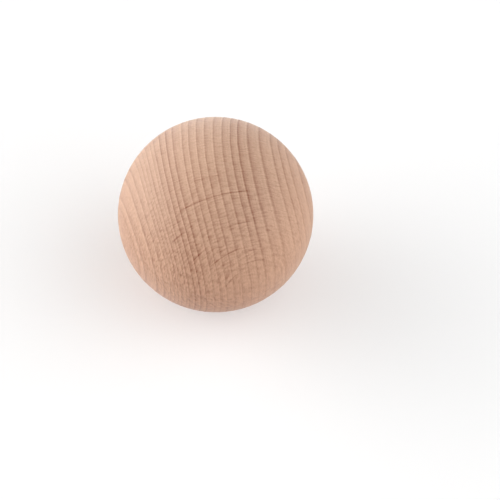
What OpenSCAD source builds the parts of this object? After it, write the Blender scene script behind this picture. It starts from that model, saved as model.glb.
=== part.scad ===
// Solid turned ball of beech. The origin is the centre of the ball, and +Z runs
// along the turning axis, which is also the direction of the wood's fibres.

/* [Ball] */
// Diameter of the finished, sanded ball
ball_d = 60; // [30:1:100]

/* [Hidden] */
$fn = 180;
beech = [0.80, 0.66, 0.56];

// The half of the ball's outline that the turning tool follows: an arc from one
// pole to the other, closed by the turning axis.
module turned_profile() {
    intersection() {
        circle(d = ball_d);
        translate([0, -ball_d / 2]) square([ball_d / 2, ball_d]);
    }
}

// One piece, solid right through, with no bore, flat or centre mark.
module ball() {
    color(beech) rotate_extrude() turned_profile();
}

ball();
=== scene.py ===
import math

import bmesh
import bpy
from mathutils import Matrix, Vector


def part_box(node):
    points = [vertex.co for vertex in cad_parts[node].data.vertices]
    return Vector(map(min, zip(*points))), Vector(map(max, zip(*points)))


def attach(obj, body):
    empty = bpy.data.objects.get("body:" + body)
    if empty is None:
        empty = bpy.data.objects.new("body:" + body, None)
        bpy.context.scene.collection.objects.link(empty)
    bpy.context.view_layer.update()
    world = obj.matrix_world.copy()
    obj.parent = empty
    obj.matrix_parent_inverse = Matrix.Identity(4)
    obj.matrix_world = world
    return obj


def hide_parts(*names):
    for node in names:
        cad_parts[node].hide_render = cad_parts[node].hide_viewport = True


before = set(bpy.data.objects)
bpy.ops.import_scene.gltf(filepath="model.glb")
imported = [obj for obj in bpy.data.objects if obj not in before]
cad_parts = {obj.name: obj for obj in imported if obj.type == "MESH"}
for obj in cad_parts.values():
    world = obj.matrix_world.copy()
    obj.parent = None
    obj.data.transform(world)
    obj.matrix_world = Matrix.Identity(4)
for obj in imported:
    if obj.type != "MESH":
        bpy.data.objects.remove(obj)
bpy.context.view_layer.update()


# The ball: solid beech, turned on a lathe from one blank with the fibres along the turning axis, Z, and
# sanded smooth with no finish. The heart of the log lay beyond its +X side, so the year rings cross it as
# wide arcs, and the rays fan out from there.

low_corner, high_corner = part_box("ball")
ball_radius = min(high_corner - low_corner) / 2
MM = 0.001
radius_mm = ball_radius / MM

# The line of the heart of the log: where it crosses the ball's middle plane, in millimetres from the ball's
# centre, and how far it leans in X for each millimetre of height.
heart_x = 115.5
heart_y = 13.3
heart_lean = -0.062
heart_distance = math.hypot(heart_x, heart_y)

# The rings, from the heart side to the bark side: where the first one starts, in millimetres from the ball's
# centre, and then spells of years. A spell has its number of rings, the width of each one in millimetres, and
# how dark their late wood is.
first_ring = -29.75
spells = [
    (2, 3.30, 0.80),
    (2, 2.40, 0.85),
    (2, 3.60, 1.05),
    (1, 2.85, 1.35),
    (1, 2.15, 1.15),
    (1, 2.40, 1.00),
    (2, 2.55, 1.00),
    (2, 2.25, 1.10),
    (1, 1.85, 1.05),
    (1, 2.70, 1.25),
    (2, 1.80, 1.40),
    (1, 1.70, 1.00),
    (1, 0.95, 0.90),
    (1, 1.45, 0.90),
    (3, 1.10, 0.85),
    (2, 2.00, 0.88),
    (1, 2.95, 0.75),
    (1, 1.20, 0.85),
]

# How dark the wood is through one year, from the first wood of spring to the last of summer.
seasons = [
    (0.00, 0.60),
    (0.04, 0.25),
    (0.12, 0.00),
    (0.25, 0.28),
    (0.40, 0.25),
    (0.55, 0.36),
    (0.70, 0.52),
    (0.80, 0.60),
    (0.88, 1.00),
    (0.94, 0.96),
    (0.98, 0.78),
    (1.00, 0.60),
]


class Value:
    """A socket in a material. Sums and products of values add the nodes that work them out."""

    def __init__(self, tree, socket):
        self.tree = tree
        self.socket = socket

    def node(self, kind, settings=None, inputs=None, output=0):
        """Adds a node: first its settings, then its inputs by name or number, each plain or a link."""
        made = self.tree.nodes.new(kind)
        for name, setting in (settings or {}).items():
            if name == "stops":
                fill_ramp(made.color_ramp, setting)
            else:
                setattr(made, name, setting)
        for name, given in (inputs or {}).items():
            if isinstance(given, Value):
                self.tree.links.new(given.socket, made.inputs[name])
            else:
                made.inputs[name].default_value = given
        return Value(self.tree, made.outputs[output])

    def output(self, name):
        """Another output of the node that gave this value."""
        return Value(self.tree, self.socket.node.outputs[name])

    def math(self, operation, *others):
        return self.node("ShaderNodeMath", {"operation": operation}, dict(enumerate((self,) + others)))

    def __add__(self, other):
        return self.math("ADD", other)

    def __sub__(self, other):
        return self.math("SUBTRACT", other)

    def __rsub__(self, other):
        return self.node("ShaderNodeMath", {"operation": "SUBTRACT"}, {0: other, 1: self})

    def __mul__(self, other):
        return self.math("MULTIPLY", other)

    def __truediv__(self, other):
        return self.math("DIVIDE", other)

    def __abs__(self):
        return self.math("ABSOLUTE")

    __radd__ = __add__
    __rmul__ = __mul__


def fill_ramp(ramp, stops):
    for place, _ in stops[2:]:
        ramp.elements.new(place)
    for element, (place, grey) in zip(ramp.elements, stops):
        element.position = place
        element.color = (grey, grey, grey, 1)


def limit(value, low, high):
    if isinstance(value, Value):
        return value.math("MAXIMUM", low).math("MINIMUM", high)
    return max(low, min(high, value))


def distance_from_heart(x, y, z):
    inwards = heart_x + heart_lean * z - x
    sideways = y - heart_y
    square = inwards * inwards + sideways * sideways
    return square.math("SQRT") if isinstance(square, Value) else math.sqrt(square)


def rings_across(x, y, z):
    """Distance across the rings from the ball's centre, growing towards the bark, in millimetres."""
    # A log is never quite round, so the rings stray by up to a few millimetres.
    u, v, w = x / radius_mm, y / radius_mm, z / radius_mm
    wander = v * (-0.05 * u + 0.195 * u * u - 0.04 * w * w * w - 0.09 * u * v * v) * radius_mm
    return distance_from_heart(x, y, z) - heart_distance - wander


def years_passed(across):
    """How many rings lie between the start of the first one and this place."""
    years = 0
    start = first_ring
    for count, width, _ in spells:
        years = years + limit((across - start) / width, 0, count)
        start = start + count * width
    return years


def read_stops(stops, place):
    """The height at this place of a line drawn through the stops."""
    for (start, low), (end, high) in zip(stops, stops[1:]):
        if place <= end:
            return low + (high - low) * (place - start) / (end - start)
    return stops[-1][1]


# The mesh is a cube's grid, blown up to a ball with its squares spread evenly. The soft spring wood sands
# away deeper than the hard summer wood, by up to sanded_depth, in millimetres.
squares_along_edge = 128
sanded_depth = 0.05
ball_mesh = bmesh.new()
bmesh.ops.create_cube(ball_mesh, size=2)
bmesh.ops.subdivide_edges(ball_mesh, edges=ball_mesh.edges, cuts=squares_along_edge - 1, use_grid_fill=True)
for vertex in ball_mesh.verts:
    outwards = Vector([math.tan(part * math.pi / 4) for part in vertex.co]).normalized()
    season = years_passed(rings_across(*(outwards * radius_mm))) % 1
    hollow = sanded_depth * (1 - read_stops(seasons, season))
    vertex.co = outwards * (ball_radius - hollow * MM)
bmesh.ops.recalc_face_normals(ball_mesh, faces=ball_mesh.faces)
for face in ball_mesh.faces:
    face.smooth = True
ball_data = bpy.data.meshes.new("turned_ball")
ball_mesh.to_mesh(ball_data)
ball_mesh.free()
ball = bpy.data.objects.new("turned_ball", ball_data)
bpy.context.collection.objects.link(ball)

# The wood. Each pattern in it follows the log, in millimetres: across the rings towards the bark, around the
# heart, and along the fibres.
beech = bpy.data.materials.new("raw_beech")
beech.use_nodes = True
shader = beech.node_tree.nodes["Principled BSDF"]
surface = Value(beech.node_tree, None)

place = surface.node("ShaderNodeTexCoord", output="Object")
place = surface.node("ShaderNodeVectorMath", {"operation": "SCALE"}, {0: place, "Scale": 1 / MM})
x = surface.node("ShaderNodeSeparateXYZ", {}, {0: place}, "X")
y = x.output("Y")
z = x.output("Z")

across = rings_across(x, y, z)
around = (y - heart_y).math("ARCTAN2", heart_x + heart_lean * z - x) * heart_distance + heart_y
along = z - heart_lean * x


def wood_noise(across_mm, around_mm, along_mm, detail=2.0, seed=0.0, sideways=around):
    """Soft noise from -0.5 to 0.5 whose grains have this size."""
    spot = surface.node("ShaderNodeCombineXYZ", {}, {
        0: across / across_mm + seed, 1: sideways / around_mm, 2: along / along_mm})
    return surface.node("ShaderNodeTexNoise", {}, {"Vector": spot, "Scale": 1.0, "Detail": detail}) - 0.5


# Rings. They ripple a little, no two years are equally dark, and they are faint on a patch low on the front,
# where low_front comes to 1. Thin layers follow them within each year.
ripple_mm = 0.3
years = years_passed(across + wood_noise(9, 5, 26) * ripple_mm)
summer_wood = surface.node("ShaderNodeValToRGB", {"stops": seasons}, {0: years.math("FRACT")})
darkness = spells[0][2]
spell_end = 0
for (count, _, dark), (_, _, next_dark) in zip(spells, spells[1:]):
    spell_end = spell_end + count
    darkness = darkness + limit(years - spell_end, 0, 1) * (next_dark - dark)
year_chance = surface.node("ShaderNodeTexWhiteNoise", {"noise_dimensions": "1D"}, {"W": years.math("FLOOR")})
low_front = (x * 0.63 - y * 0.75 - z * 0.17) / radius_mm
ring_strength = 1.18 + x * z * 0.33 / radius_mm / radius_mm - limit(low_front - 0.45, 0, 0.55) * 1.53
rings = summer_wood * darkness * (0.92 + 0.16 * year_chance) * ring_strength
layers = wood_noise(0.42, 6, 30, detail=1.0, seed=17.0)

# Rays: thin upright ribbons of hard tissue that run from the heart to the bark. The small ones bend with a
# slow wave. They show most where the surface is cut along them, as on a quartered board, but are softer at
# the very middle of that face, where each one spreads out.
wave_mm = 1.2
wavy = around + wood_noise(14, 30, 10, detail=1.0, seed=4.0) * wave_mm
quartered = abs(x * heart_y - y * heart_x) / radius_mm / distance_from_heart(x, y, z)
silver_grain = 0.6 + 0.4 * quartered + across / radius_mm * (1.2 * quartered - 0.4)
silver_grain = silver_grain * (1 - limit((quartered - 0.93) * 6.5, 0, 0.4))

# Short broad rays, one to a cell of the wood. Most are faint, and about one in ten is dark.
cell = surface.node("ShaderNodeCombineXYZ", {}, {0: across / 3.5 + 3.0, 1: wavy / 0.5, 2: along / 1.5})
from_middle = surface.node("ShaderNodeTexVoronoi", {}, {"Vector": cell, "Scale": 1.0})
ray_chance = surface.node("ShaderNodeSeparateXYZ", {}, {0: from_middle.output("Color")})
dark_few = limit((ray_chance - 0.88) * 20, 0, 1)
broad_rays = limit(1 - from_middle / 0.5, 0, 1) * (0.6 + ray_chance * 0.5 + dark_few * 0.5) * silver_grain

# Fine rays, too many to see one by one.
fine_rays = wood_noise(2, 0.32, 1.6, detail=0.0, seed=11.0, sideways=wavy)
fine_rays = limit(fine_rays / 0.16, -0.6, 1) * silver_grain

# Long rays: how far around the heart each one lies, its lower and upper edge, its end on the heart side and
# on the bark side, all in millimetres, and how dark it is.
long_rays = [
    (-14.4, 20.8, 27.8, -9.5, 13.0, 0.60),
    (-18.7, 14.4, 18.8, 11.6, 18.0, 0.75),
    (-9.0, 26.6, 29.6, -3.0, 7.6, 0.40),
    (-21.8, 19.8, 22.4, -8.0, 1.5, 0.50),
    (-26.25, 10.3, 16.4, -2.4, 8.2, 0.65),
    (-27.0, 13.8, 15.6, -8.0, -1.6, 0.55),
    (-28.5, 10.2, 12.6, -9.6, -0.6, 0.45),
    (-29.15, 2.6, 9.2, -2.4, 5.2, 0.45),
    (-23.7, 11.4, 15.2, 8.2, 13.8, 0.70),
]
ray_half_width = 0.27
soft_edge = 0.5
soft_end = 2
long_marks = 0
for at, low, high, heart_side, bark_side, dark in long_rays:
    # Near the side of the ball the surface lies almost along the ray, which is thinner there, so that its
    # line on the surface stays as fine as the others.
    half_width = ray_half_width * math.sqrt(1 - (at / radius_mm) ** 2)
    line = limit(1 - abs(around - at) / half_width, 0, 1)
    upright = limit((along - low) / soft_edge, 0, 1) * limit((high - along) / soft_edge, 0, 1)
    length = limit((across - heart_side) / soft_end, 0, 1) * limit((bark_side - across) / soft_end, 0, 1)
    long_marks = long_marks + line * upright * length * dark

# Fibres, which show less where their ends are cut, and pores.
end_grain = abs(z) / radius_mm
fibres = wood_noise(0.35, 0.35, 12, detail=1.0, seed=5.0)
pores = wood_noise(0.16, 0.16, 0.8, detail=1.0, seed=8.0)

# The colour goes from the light one, at a shade of 0, to the dark one, at 1, and a little past both in the
# finest marks.
light_colour = (0.707, 0.464, 0.322, 1)
dark_colour = (0.392, 0.180, 0.102, 1)
grain = layers * 0.35 + fibres * 0.42 * (1.6 - 0.8 * end_grain) + pores * 0.88
shade = 0.05 + rings * 0.54 + broad_rays * 0.28 + fine_rays * 0.2 + long_marks + grain
wood = surface.node("ShaderNodeMix", {"data_type": "RGBA", "clamp_factor": False}, {
    0: shade, 6: light_colour, 7: dark_colour}, 2)
beech.node_tree.links.new(wood.socket, shader.inputs["Base Color"])

# The surface is bare and dull, with a faint nap. Rays are the smoothest, and fibres and pores lie open.
shader.inputs["Specular IOR Level"].default_value = 0.5
shader.inputs["Diffuse Roughness"].default_value = 0.5
shader.inputs["Sheen Weight"].default_value = 0.3
shader.inputs["Sheen Roughness"].default_value = 0.5
beech.node_tree.links.new((0.62 - fine_rays * 0.05).socket, shader.inputs["Roughness"])
relief_depth = 0.08
hollows = broad_rays * 0.3 + fine_rays * 0.3 + fibres * 0.6 + pores * 0.6 + long_marks
height = summer_wood * 0.6 - hollows
relief = surface.node("ShaderNodeBump", {}, {
    "Strength": 1.0, "Distance": relief_depth * MM, "Height": height})
beech.node_tree.links.new(relief.socket, shader.inputs["Normal"])
ball.data.materials.append(beech)

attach(ball, "root")
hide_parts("ball")


# The floor: a plain pale card under the ball, which isn't part of it. The camera sees it pale, and the light
# that it throws back up on the ball is dim and warm.
floor_half_width = 3
seen_colour = (0.8, 0.8, 0.8, 1)
seen_glow = (0.21, 0.21, 0.21, 1)
bounced_colour = (0.42, 0.18, 0.09, 1)
no_glow = (0, 0, 0, 1)
floor_mesh = bmesh.new()
bmesh.ops.create_grid(floor_mesh, x_segments=1, y_segments=1, size=floor_half_width)
bmesh.ops.translate(floor_mesh, verts=floor_mesh.verts, vec=(0, 0, low_corner.z))
floor_data = bpy.data.meshes.new("floor")
floor_mesh.to_mesh(floor_data)
floor_mesh.free()
floor = bpy.data.objects.new("floor", floor_data)
bpy.context.collection.objects.link(floor)
card = bpy.data.materials.new("pale_floor")
card.use_nodes = True
card_shader = card.node_tree.nodes["Principled BSDF"]
ground = Value(card.node_tree, None)


def seen_directly(group):
    """1 for what the camera sees, also in a reflection or through glass, and 0 for light that bounces."""
    path = group.node("ShaderNodeLightPath", output="Is Camera Ray")
    return limit(path + path.output("Is Glossy Ray") + path.output("Is Transmission Ray"), 0, 1)


card_colour = ground.node("ShaderNodeMix", {"data_type": "RGBA"}, {
    0: seen_directly(ground), 6: bounced_colour, 7: seen_colour}, 2)
card_glow = ground.node("ShaderNodeMix", {"data_type": "RGBA"}, {
    0: seen_directly(ground), 6: no_glow, 7: seen_glow}, 2)
card.node_tree.links.new(card_colour.socket, card_shader.inputs["Base Color"])
card.node_tree.links.new(card_glow.socket, card_shader.inputs["Emission Color"])
card_shader.inputs["Emission Strength"].default_value = 1
card_shader.inputs["Roughness"].default_value = 0.9
floor.data.materials.append(card)


# The camera: it looks down on the front of the ball from arm's length, and aims a little to the right of the
# ball and below it.
elevation = math.radians(51.1)
camera_distance = 0.39
back = Vector((0, -math.cos(elevation), math.sin(elevation)))
up = Vector((0, math.sin(elevation), math.cos(elevation)))
right = Vector((1, 0, 0))
camera_data = bpy.data.cameras.new("camera")
camera_data.sensor_width = 36
camera_data.lens = 91.2
camera = bpy.data.objects.new("camera", camera_data)
bpy.context.collection.objects.link(camera)
camera.location = back * camera_distance
aim = right * 0.01051 - up * 0.01085
turned_back = (camera.location - aim).normalized()
turned_right = up.cross(turned_back).normalized()
turned_up = turned_back.cross(turned_right)
camera.rotation_euler = Matrix((turned_right, turned_up, turned_back)).transposed().to_euler()
bpy.context.scene.camera = camera


# The light: a pale even glow and two broad soft patches in the world. Each patch has its direction, as right,
# up and towards the camera, and its strength. The camera sees plain white instead.
world = bpy.data.worlds.new("studio")
bpy.context.scene.world = world
world.use_nodes = True
background = world.node_tree.nodes["Background"]
background.inputs["Color"].default_value = (1, 1, 1, 1)
sky = Value(world.node_tree, None)
direction = sky.node("ShaderNodeTexCoord", output="Generated")
glow = 0.3
patch_sharpness = 4
soft_patches = [
    (-0.95, -0.04, -0.31, 12.2),
    (0.88, 0.12, 0.46, 2.5),
]
for side, rise, depth, power in soft_patches:
    middle = (right * side + up * rise + back * depth).normalized()
    facing = sky.node("ShaderNodeVectorMath", {"operation": "DOT_PRODUCT"}, {
        0: direction, 1: middle}, "Value")
    glow = glow + limit(facing, 0, 1).math("POWER", patch_sharpness) * power
strength = sky.node("ShaderNodeMix", {"data_type": "FLOAT"}, {0: seen_directly(sky), 2: glow, 3: 1.0})
world.node_tree.links.new(strength.socket, background.inputs["Strength"])

bpy.context.scene.view_settings.view_transform = "Standard"
